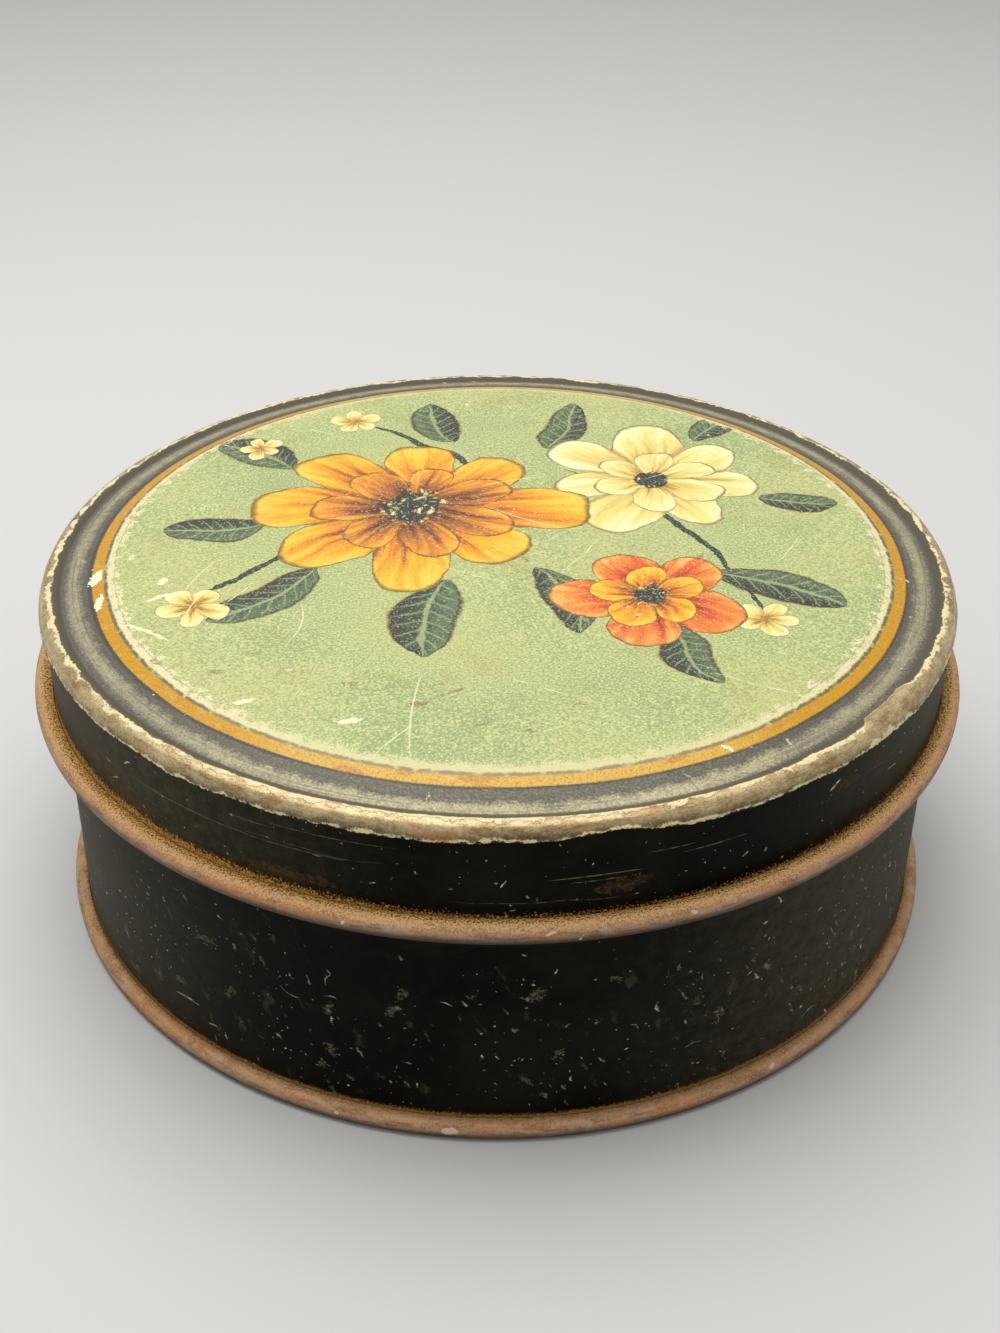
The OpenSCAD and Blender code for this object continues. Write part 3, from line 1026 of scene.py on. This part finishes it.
def lid_border():
    """Lid's edge: gold ring, dusty black border with painted sheen, and a bead worn to bare metal between
    flaked paint edges.
    """
    material, w, shader = new_finish("lid_border")
    where = w.group(TIN_PLACES, {})
    place, level = where["Place"], where["Level"]
    along = w.attribute("along")
    arc = w.part(where["Unrolled"], 0)
    fine = w.drift(place, 4.6, 4.0, 0.7)
    blotch = w.drift(place, 0.8, 4.0, 0.6)

    colour = w.group(PRINTED_RINGS, {"Picture": CREAM_WHITE, "Place": place})["Colour"]
    rust = w.times(marks(w, level, RING_RUST, 0.9), w.ease(fine, -0.2, 0.15), 0.8)
    colour = w.mix(rust, colour, RUST_MID)

    # The pale streak on the border is dust and painted sheen: it lies near the crease at the front and moves
    # to mid-border at the sides, where the light's reflection falls
    aside = w.ease(w.math("ABSOLUTE", arc), 8.0, 42.0)
    sheen_and_wear_at = w.plus(BORDER_AT + 0.42, w.times(aside, 0.85), w.times(blotch, 0.6))
    off = w.math("DIVIDE", w.minus(along, sheen_and_wear_at), STREAK_HALF_W)
    streak = w.plus(w.times(w.inverse(w.times(off, off)), 0.6), w.times(fine, 2.4), w.times(blotch, 1.6))
    dust_and_sheen = w.times(w.ease(streak, -0.8, 1.3), w.span(aside, 0.0, 1.0, 0.9, 0.6))
    dust_and_sheen = w.plus(dust_and_sheen, w.times(w.ease(fine, -0.12, 0.22), w.span(aside, 0.0, 1.0, 0.36, 0.2)))
    furrows = w.noise(w.join(w.times(arc, 0.08), w.times(along, 3.5)), 1.0, 3.0)
    outer = w.ease(along, BORDER_EDGE_AT + 0.1, BORDER_EDGE_AT - 0.3)
    dust_and_sheen = w.times(dust_and_sheen, w.span(furrows, 0.5, 0.68, 1.0, 0.5), outer)
    colour = w.mix(dust_and_sheen, colour, DUST_AND_SHEEN)
    deep = w.times(w.within(along, BORDER_EDGE_AT - 0.3, BORDER_EDGE_AT, 0.12), 0.45)
    colour = w.mix(deep, colour, BORDER_DEEP)
    chips = w.most(marks(w, level, RING_CHIPS, 1.3), w.times(specks(w, level, 2.2, 0.1, 0.06), 0.8))
    colour = w.mix(chips, colour, CREAM_WHITE)
    crease = w.within(w.plus(along, w.times(fine, 0.2)), CREASE_AT - 0.55, BORDER_AT, 0.16)
    colour = w.mix(w.times(crease, 0.88), colour, w.mix(aside, CREASE_DIRT, CREASE_DEEP))

    rubbed_bare = w.times(w.within(arc, BARE_FROM, BARE_TO, 0.8), 0.8)
    flakes = w.group(FLAKED_EDGE, {
        "Vector": place, "Inside": w.minus(w.minus(along, CREASE_AT - 0.58), rubbed_bare),
        "Ragged": w.span(aside, 0.0, 1.0, 0.12, 0.3), "Undercoat": w.minus(0.36, w.times(rubbed_bare, 0.4)),
    })
    rim = w.group(FLAKED_EDGE, {
        "Vector": place, "Inside": w.minus(0.06, along), "Ragged": 0.12,
        "Undercoat": w.plus(0.18, w.times(w.within(arc, UNDERCOAT_FROM, UNDERCOAT_TO, 1.5), 0.3)),
    })
    tin = w.group(PATINA, {
        "Vector": w.join(w.times(arc, 0.5), along), "Bright": 0.8, "Warm": 0.1, "Rust": 0.26,
    })
    # The bead's metal turns darker towards the raw edge, over the groove above the lip
    groove = w.ease(w.plus(along, w.times(fine, 0.5), w.times(blotch, 0.5), w.times(aside, 0.3)), 1.1, 0.3)
    metal = w.mix(w.times(groove, 0.7), tin["Colour"], DARK_BROWN)
    rosy = w.times(w.ease(w.plus(blotch, w.times(fine, 0.6)), 0.1, 0.26), 0.7)
    rusty = w.times(marks(w, w.join(arc, along), BEAD_RUST, 0.9), w.ease(fine, -0.2, 0.2))
    rosy = w.most(rosy, w.times(rusty, 0.9))
    metal = w.mix(rosy, metal, ROSY_RUST)
    bare = w.inverse(w.most(flakes["Paint"], flakes["Pale"], rim["Paint"], rim["Pale"]))
    cream = w.mix(w.ease(w.plus(along, w.times(fine, 1.2)), 0.4, 1.4), OLIVE_CREAM, CREAM_FLAKE)
    cream = w.mix(w.times(rosy, 0.7), cream, ROSY_RUST)
    colour = w.mix(w.inverse(flakes["Paint"]), colour, w.mix(bare, cream, metal))
    bitten = w.ease(w.minus(w.times(w.minus(w.noise(place, 1.3, 5.0, 0.7), 0.42), 1.2), along), -0.03, 0.05)
    colour = w.mix(bitten, colour, ENAMEL_BROWN)

    w.feed(shader["Base Color"], colour)
    w.feed(shader["Metallic"], w.times(bare, tin["Metal"], 0.55))
    shader["Specular IOR Level"].default_value = 0.3
    satin = w.plus(0.36, w.times(w.most(dust_and_sheen, chips, crease), 0.3))
    w.feed(shader["Roughness"], w.plus(w.times(satin, w.inverse(bare)), w.times(bare, 0.36)))
    film = w.plus(w.inverse(bare), w.times(tin["Height"], 0.25), w.times(chips, -0.5), w.times(fine, 0.3))
    raise_surface(w, shader, film, 0.05)
    return material


# Colours of the flower spray, from the throat of a bloom to the tips of its petals
FLOWER_LINE = plain(74, 48, 30)
AMBER_PETALS = shades((92, 48, 26), (168, 92, 36), (236, 142, 20), (250, 182, 24), (255, 206, 70))
RUSSET_PETALS = shades((70, 40, 28), (120, 66, 36), (176, 104, 48), (226, 138, 30), (246, 176, 50))
CREAM_PETALS = shades((170, 120, 40), (216, 184, 96), (240, 216, 124), (248, 232, 150), (252, 242, 186))
VERMILION_PETALS = shades((110, 40, 24), (186, 66, 32), (224, 96, 40), (236, 132, 48), (246, 180, 90))
# Where along a petal each of its five colours lies
TONE_STEPS = [0.12, 0.3, 0.48, 0.66, 0.86]
HEART_DARK = plain(50, 54, 50)
LEAF_DARK = plain(52, 62, 54)
LEAF_MID = plain(96, 116, 84)
LEAF_PALE = plain(168, 178, 122)

# Leaves and stems: x, y, turn in degrees, length, width, bow
LEAVES = [
    (-24.0, 4.0, 192.0, 11.0, 6.0, 1.0), (-22.0, 16.0, 146.0, 13.0, 6.4, -1.2),
    (-18.0, -6.0, 224.0, 14.0, 6.4, 1.4), (-5.0, -8.0, 262.0, 15.0, 6.6, -1.2),
    (-5.0, 23.0, 106.0, 12.0, 5.6, 1.0), (5.0, 22.0, 74.0, 13.0, 5.6, -1.0),
    (22.0, 24.0, 52.0, 10.0, 5.0, 0.8), (28.0, 10.0, 352.0, 8.5, 4.6, -0.6),
    (21.0, -7.0, 338.0, 14.0, 6.0, 1.2), (17.0, -16.0, 288.0, 11.0, 5.4, -1.0),
    (4.0, -6.0, 286.0, 13.0, 5.4, 1.0),
]
STEMS = [
    (-30.0, -14.0, 40.0, 30.0, 0.9, 3.0), (26.0, -14.0, 122.0, 36.0, 0.9, -3.0),
    (-16.0, 29.0, 310.0, 26.0, 0.9, 2.0),
]
# Blooms: x, y, reach, petals outside and inside, turn in radians, heart, petals' colours outside and inside
BLOOMS = [
    (15.0, -11.0, 10.0, 5, 5, 0.5, 1.7, VERMILION_PETALS, AMBER_PETALS),
    (17.0, 14.5, 13.5, 7, 6, 0.2, 2.2, CREAM_PETALS, CREAM_PETALS),
    (-9.0, 7.0, 18.5, 8, 7, 0.0, 3.0, AMBER_PETALS, RUSSET_PETALS),
]
# Small blossoms: x, y, reach, turn in radians
BLOSSOMS = [
    (-29.5, -13.5, 3.6, 0.3), (-16.5, 29.5, 3.4, 0.8), (26.0, -14.5, 3.4, 0.1), (-27.0, 22.0, 2.8, 0.5),
]
BLOSSOM_PETALS = 5

# Scratches and chips in the varnish, and rust that has come through it
PALE_SCRATCHES = [
    (-30.6, -10.8, 69.0, 6.9, 0.18, 0.3), (-29.3, -17.2, 85.0, 5.7, 0.18, 0.6),
    (-19.9, -20.9, 84.0, 8.2, 0.18, -0.9), (-7.2, -38.4, 88.0, 13.5, 0.2, 0.5),
    (-10.4, -37.8, 55.0, 5.4, 0.18, 0.1), (8.0, 2.0, 150.0, 11.0, 0.18, 0.5),
    (24.0, 18.0, 205.0, 9.0, 0.18, -0.4), (-2.0, 12.0, 20.0, 8.0, 0.18, 0.3),
]
PALE_CHIPS = [
    (-23.4, -30.2, 20.0, 2.2, 0.8), (-13.9, -33.0, 12.0, 2.4, 0.8),
    (-33.2, -9.6, 80.0, 1.7, 0.9), (-35.4, -16.8, -32.0, 5.6, 0.5, 0.2),
    (-34.0, -12.8, 30.0, 3.2, 0.6, 0.3),
]
RUST_MARKS = [
    (-14.0, -27.1, 10.0, 1.6, 0.6), (-12.0, -27.8, -15.0, 1.3, 0.5),
    (-7.9, -30.2, 5.0, 1.9, 0.9), (-5.3, -28.9, 25.0, 3.0, 0.5),
    (-1.9, -33.6, 30.0, 1.7, 0.5), (2.3, -34.1, 0.0, 1.3, 0.6),
    (6.9, -30.0, 0.0, 1.3, 0.6), (-26.2, -25.1, 0.0, 1.4, 0.7),
    (-31.9, -22.8, -35.0, 1.5, 0.7), (-8.0, 2.0, 30.0, 1.6, 0.8),
    (3.0, -5.0, 110.0, 1.4, 0.7), (20.0, -4.0, 60.0, 1.6, 0.6),
]


def paint_leaf(w, ground, place, leaf, grain):
    """Lays one ribbed leaf over the ground colour."""
    blade = laid_blade(w, place, leaf)
    side = w.math("ABSOLUTE", blade["Across"])
    wave = w.math("SINE", w.times(w.minus(w.times(blade["Along"], 8.0), w.times(side, 1.3)), 2.0 * math.pi))
    shade = w.plus(w.times(blade["Across"], 0.5), w.times(w.minus(grain, 0.5), 1.6))
    colour = w.mix(w.ease(shade, -0.35, 0.45), LEAF_DARK, LEAF_MID)
    ribs = w.most(w.ease(side, 0.12, 0.04), w.times(w.ease(wave, 0.7, 0.98), w.ease(side, 0.9, 0.6), 0.6))
    colour = w.mix(w.times(ribs, 0.8), colour, LEAF_PALE)
    colour = w.mix(w.times(w.ease(side, 0.72, 0.86), 0.8), colour, FLOWER_LINE)
    return w.mix(blade["Mask"], ground, colour)


def paint_petals(w, ground, place, centre, reach, petals, turn, waist, tones):
    """Lays a ring of brushed petals over the ground colour, its tones from throat to tips."""
    ring = w.group(PETAL_RING, {
        "Place": place, "Centre": centre, "Reach": reach, "Petals": petals, "Turn": turn, "Waist": waist,
    })
    along, across, seed = ring["Along"], ring["Across"], ring["Seed"]
    sweep = w.join(w.plus(w.times(across, 1.5), w.times(seed, 9.0)), w.times(along, 0.5), w.times(seed, 21.0))
    stroke = w.noise(sweep, 2.6, 4.0, 0.6)
    tone = w.plus(w.times(along, 0.8), w.times(w.minus(stroke, 0.5), 1.3), w.times(across, 0.1))
    colour = w.ramp(tone, list(zip(TONE_STEPS, tones)))
    seam = w.times(w.ease(w.math("ABSOLUTE", across), 0.8, 1.0), w.ease(along, 0.25, 0.6))
    colour = w.mix(w.times(seam, 0.75), colour, tones[0])
    colour = w.mix(w.times(w.ease(along, 0.94, 0.985), 0.8), colour, FLOWER_LINE)
    return w.mix(ring["Mask"], ground, colour)


def paint_bloom(w, ground, place, bloom):
    """Lays a bloom over the ground colour: two rings of petals and a dark heart with pale stamens."""
    x, y, reach, outside, inside, turn, heart, outer_tones, inner_tones = bloom
    centre = (x, y, 0.0)
    ground = paint_petals(w, ground, place, centre, reach, outside, turn, 0.62, outer_tones)
    ground = paint_petals(w, ground, place, centre, reach * 0.62, inside, turn + 0.4, 0.55, inner_tones)
    far = w.length(w.vector("SUBTRACT", place, centre))
    ground = w.mix(w.ease(far, heart, heart - 0.25), ground, HEART_DARK)
    stamens = w.times(specks(w, place, 0.9, 0.75, 0.3), w.within(far, heart * 0.35, heart * 1.3, 0.3))
    return w.mix(stamens, ground, CREAM_PETALS[3])


def flower_spray(w, ground, place):
    """The printed picture: three blooms, leaves and small blossoms, drawn with an unsteady hand."""
    slow = w.scaled(w.stray(place, 0.11, 1.0), 3.2)
    quick = w.scaled(w.stray(place, 0.9, 2.0), 0.5)
    drawn = w.vector("ADD", place, w.vector("ADD", slow, quick))
    drawn = w.vector("MULTIPLY", drawn, (1.0, 1.0, 0.0))
    grain = w.noise(drawn, 0.9, 4.0, 0.65)
    colour = w.mix(marks(w, drawn, STEMS, 0.4), ground, LEAF_DARK)
    for leaf in LEAVES:
        colour = paint_leaf(w, colour, drawn, leaf, grain)
    for x, y, reach, turn in BLOSSOMS:
        centre = (x, y, 0.0)
        colour = paint_petals(w, colour, drawn, centre, reach, BLOSSOM_PETALS, turn, 0.45, CREAM_PETALS)
    for bloom in BLOOMS:
        colour = paint_bloom(w, colour, drawn, bloom)
    return colour


def lid_picture():
    """Lid's panel: a stippled green print with a flower spray, scratched and rust-flecked."""
    material, w, shader = new_finish("lid_picture")
    where = w.group(TIN_PLACES, {})
    place, level = where["Place"], where["Level"]
    grain = w.noise(place, 4.2, 2.0, 0.55)
    drift = w.noise(place, 0.06, 2.0)

    pale = w.mix(w.ease(drift, 0.42, 0.62), GROUND_PALE, GROUND_WARM)
    ground = w.mix(w.ease(w.plus(w.times(grain, 0.7), w.times(drift, 0.3)), 0.36, 0.6), GROUND_DEEP, pale)
    colour = flower_spray(w, ground, level)
    colour = w.mix(w.times(w.ease(grain, 0.56, 0.7), 0.55), colour, STIPPLE)
    toning = w.times(w.ease(w.noise(place, 0.13, 4.0, 0.6), 0.52, 0.75), 0.3)
    colour = w.mix(toning, colour, w.mix(1.0, colour, TONED, "MULTIPLY"))
    colour = w.group(PRINTED_RINGS, {"Picture": colour, "Place": place})["Colour"]

    rust = w.most(marks(w, level, RUST_MARKS, 0.9), specks(w, level, 3.4, 0.14, 0.06))
    rust = w.times(rust, w.ease(w.noise(place, 3.0, 3.0, 0.6), 0.36, 0.56), 0.7)
    colour = w.mix(rust, colour, RUST_FLECK)
    scraped = w.most(
        w.times(marks(w, level, PALE_SCRATCHES, 0.15), 0.7),
        marks(w, level, PALE_CHIPS, 0.8),
        specks(w, level, 6.0, 0.16, 0.05),
        scratches(w, w.turned(level, math.radians(25.0)), 16.0, 6.0, 0.1, 0.08),
        scratches(w, w.turned(level, math.radians(-62.0)), 12.0, 7.0, 0.1, 0.08),
    )
    colour = w.mix(w.times(scraped, 0.85), colour, CREAM_WHITE)

    w.feed(shader["Base Color"], colour)
    w.feed(shader["Roughness"], w.plus(0.36, w.times(grain, 0.14), w.times(w.most(scraped, rust), 0.3)))
    raise_surface(w, shader, w.plus(w.times(grain, 0.4), w.times(w.noise(place, 0.8, 3.0), 0.6)), 0.03)
    return material


# The pieces

def wall_zone(r, z, along, finished):
    """0 outside, 1 inside."""
    return 0 if finished > BOTH_FINISHED else 1


def base_zone(r, z, along, finished):
    """0 on the bead, 1 on both sides of the floor."""
    return 0 if finished > BOTH_FINISHED and r > FOOT_R - BASE_MID / 2 else 1


def band_zone(r, z, along, finished):
    """0 on the wall, 1 on the curl, 2 inside."""
    if finished > BOTH_FINISHED:
        return 0
    return 1 if z < CURL_Z + CURL_D / 2 and r > BAND_MID else 2


def lid_zone(r, z, along, finished):
    """0 on the picture, 1 on the border and bead, 2 underneath."""
    if finished <= BOTH_FINISHED:
        return 2
    return 0 if r < PRINT_SPLIT_R else 1


def place_piece(name, loop, moved, zone, finishes, body, node):
    """Makes a turned piece, gives it its finishes and puts it in the place of a node."""
    piece = turned(name, loop, moved, zone)
    for finish in finishes:
        piece.data.materials.append(finish)
    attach(piece, body)
    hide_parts(node)


INSIDE_TIN = inside_tin()

place_piece("enamelled_wall", sheet_loop(body_wall_rows(), True), body_wall_moved, wall_zone,
            [wall_enamel(), INSIDE_TIN], "body", "body_wall")
place_piece("rolled_base", sheet_loop(base_plate_rows(), False), base_plate_moved, base_zone,
            [rolled_tin("base_tin", 0.4, WALL_OUT, BASE_KNOCKS), INSIDE_TIN],
            "body", "base_plate")
place_piece("enamelled_band", sheet_loop(lid_band_rows(), False), lid_band_moved, band_zone,
            [band_enamel(), rolled_tin("curl_tin", 0.95, CURL_R, CURL_KNOCKS), INSIDE_TIN],
            "lid", "lid_band")
place_piece("printed_lid", sheet_loop(lid_top_rows(), False), lid_top_moved, lid_zone,
            [lid_picture(), lid_border(), INSIDE_TIN], "lid", "lid_top")


# Floor, light and camera

# The floor's width in metres and its colour, the air's grey and its strength, and the lamp's places and
# size in millimetres and its power in watts
FLOOR_W = 6.0
FLOOR_GREY = plain(214, 213, 210)
AIR_GREY = (0.98, 0.98, 0.98, 1.0)
AIR_STRENGTH = 0.5
LAMP_PLACE = (-60.0, 40.0, 420.0)
LAMP_AIM = (0.0, 0.0, 20.0)
LAMP_SIZE = (420.0, 420.0)
LAMP_POWER = 1.6


def add_floor():
    bpy.ops.mesh.primitive_plane_add(size=FLOOR_W)
    floor = bpy.context.object
    floor.name = "studio_floor"
    material, w, shader = new_finish("pale_floor")
    w.feed(shader["Base Color"], FLOOR_GREY)
    shader["Roughness"].default_value = 0.9
    floor.data.materials.append(material)


def add_lamp():
    data = bpy.data.lights.new("overhead_soft_light", "AREA")
    data.shape = "RECTANGLE"
    data.size = LAMP_SIZE[0] * MM
    data.size_y = LAMP_SIZE[1] * MM
    data.energy = LAMP_POWER
    lamp = bpy.data.objects.new("overhead_soft_light", data)
    lamp.location = Vector(LAMP_PLACE) * MM
    lamp.rotation_euler = (Vector(LAMP_AIM) - Vector(LAMP_PLACE)).to_track_quat("-Z", "Y").to_euler()
    bpy.context.scene.collection.objects.link(lamp)


def add_world():
    world = bpy.data.worlds.new("studio_air")
    bpy.context.scene.world = world
    world.use_nodes = True
    w = Wiring(world.node_tree)
    world.node_tree.nodes.clear()
    background = w.add("ShaderNodeBackground", {"Color": AIR_GREY, "Strength": AIR_STRENGTH})
    w.feed(w.add("ShaderNodeOutputWorld", {}).inputs["Surface"], background.outputs[0])


# The camera stands as it did for the photograph, 1333 pixels high
IMAGE_H = 1333.0
FOCAL_PX = 1717.0
CAMERA_PLACE = (0.25, -155.56, 121.53)
CAMERA_AIM = (0.25, 0.0, 21.70)
CAMERA_ROLL = 0.42
SENSOR = 36.0


def add_camera():
    data = bpy.data.cameras.new("studio_camera")
    data.sensor_width = SENSOR
    data.lens = FOCAL_PX / IMAGE_H * SENSOR
    data.clip_start = 0.01
    camera = bpy.data.objects.new("studio_camera", data)
    look = (Vector(CAMERA_AIM) - Vector(CAMERA_PLACE)).to_track_quat("-Z", "Y").to_matrix().to_4x4()
    roll = Matrix.Rotation(math.radians(CAMERA_ROLL), 4, "Z")
    camera.matrix_world = Matrix.Translation(Vector(CAMERA_PLACE) * MM) @ look @ roll
    bpy.context.scene.collection.objects.link(camera)
    bpy.context.scene.camera = camera


add_floor()
add_world()
add_lamp()
add_camera()
bpy.context.scene.view_settings.view_transform = "Standard"
